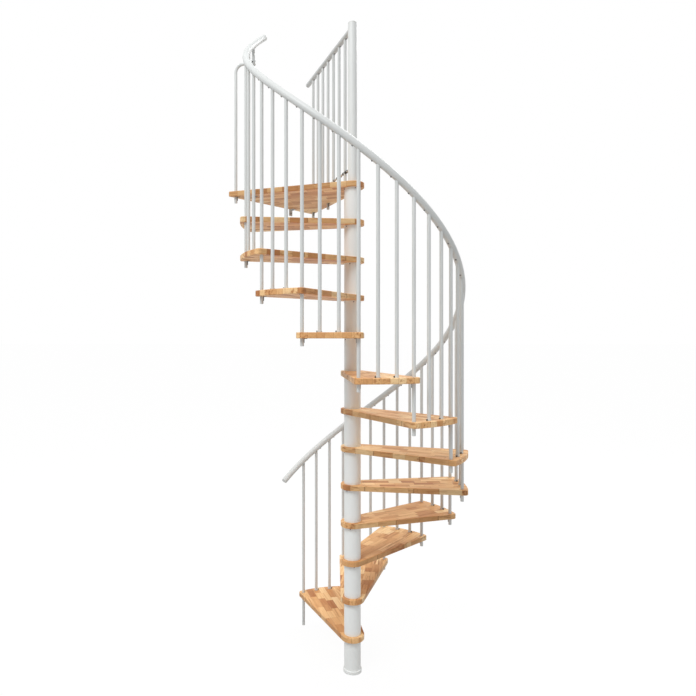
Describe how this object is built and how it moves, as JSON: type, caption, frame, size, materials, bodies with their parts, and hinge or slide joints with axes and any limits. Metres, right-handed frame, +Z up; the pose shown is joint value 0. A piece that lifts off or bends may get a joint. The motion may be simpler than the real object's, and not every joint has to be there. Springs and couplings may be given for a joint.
{
  "type": "spiral staircase",
  "caption": "Spiral staircase with wooden winder treads on a white steel column, slim vertical balusters, a helical handrail and a straight-edged top landing with its own guard.",
  "frame": {"origin": "centre of the foot's underside, on the lower floor and on the stair's axis", "axes": "+Z up along the pole; the picture's view looks along +Y with +X to the right; the stair climbs clockwise seen from above"},
  "size_m": [1.5156, 1.5244, 4.1468],
  "materials": {
    "wood": "satin varnished finger-jointed hardwood staves",
    "column_white": "white powder coat, satin",
    "railing_white": "white powder coat, satin",
    "handrail_white": "white powder coat, satin",
    "cap_plastic": "moulded",
    "bracket_steel": "white powder coat, satin"
  },
  "bodies": {
    "root": {"tread_01": "wood", "tread_02": "wood", "tread_03": "wood", "tread_04": "wood", "tread_05": "wood", "tread_06": "wood", "tread_07": "wood", "tread_08": "wood", "tread_09": "wood", "tread_10": "wood", "tread_11": "wood", "tread_12": "wood", "landing": "wood", "foot_ring": "column_white", "central_pole": "column_white", "spacer_01": "column_white", "spacer_02": "column_white", "spacer_03": "column_white", "spacer_04": "column_white", "spacer_05": "column_white", "spacer_06": "column_white", "spacer_07": "column_white", "spacer_08": "column_white", "spacer_09": "column_white", "spacer_10": "column_white", "spacer_11": "column_white", "spacer_12": "column_white", "spacer_13": "column_white", "balusters_01": "railing_white", "balusters_02": "railing_white", "balusters_03": "railing_white", "balusters_04": "railing_white", "balusters_05": "railing_white", "balusters_06": "railing_white", "balusters_07": "railing_white", "balusters_08": "railing_white", "balusters_09": "railing_white", "balusters_10": "railing_white", "balusters_11": "railing_white", "balusters_12": "railing_white", "landing_newel": "railing_white", "landing_guard": "railing_white", "handrail": "handrail_white", "end_caps": "cap_plastic", "landing_bracket": "bracket_steel"}
  },
  "joints": []
}
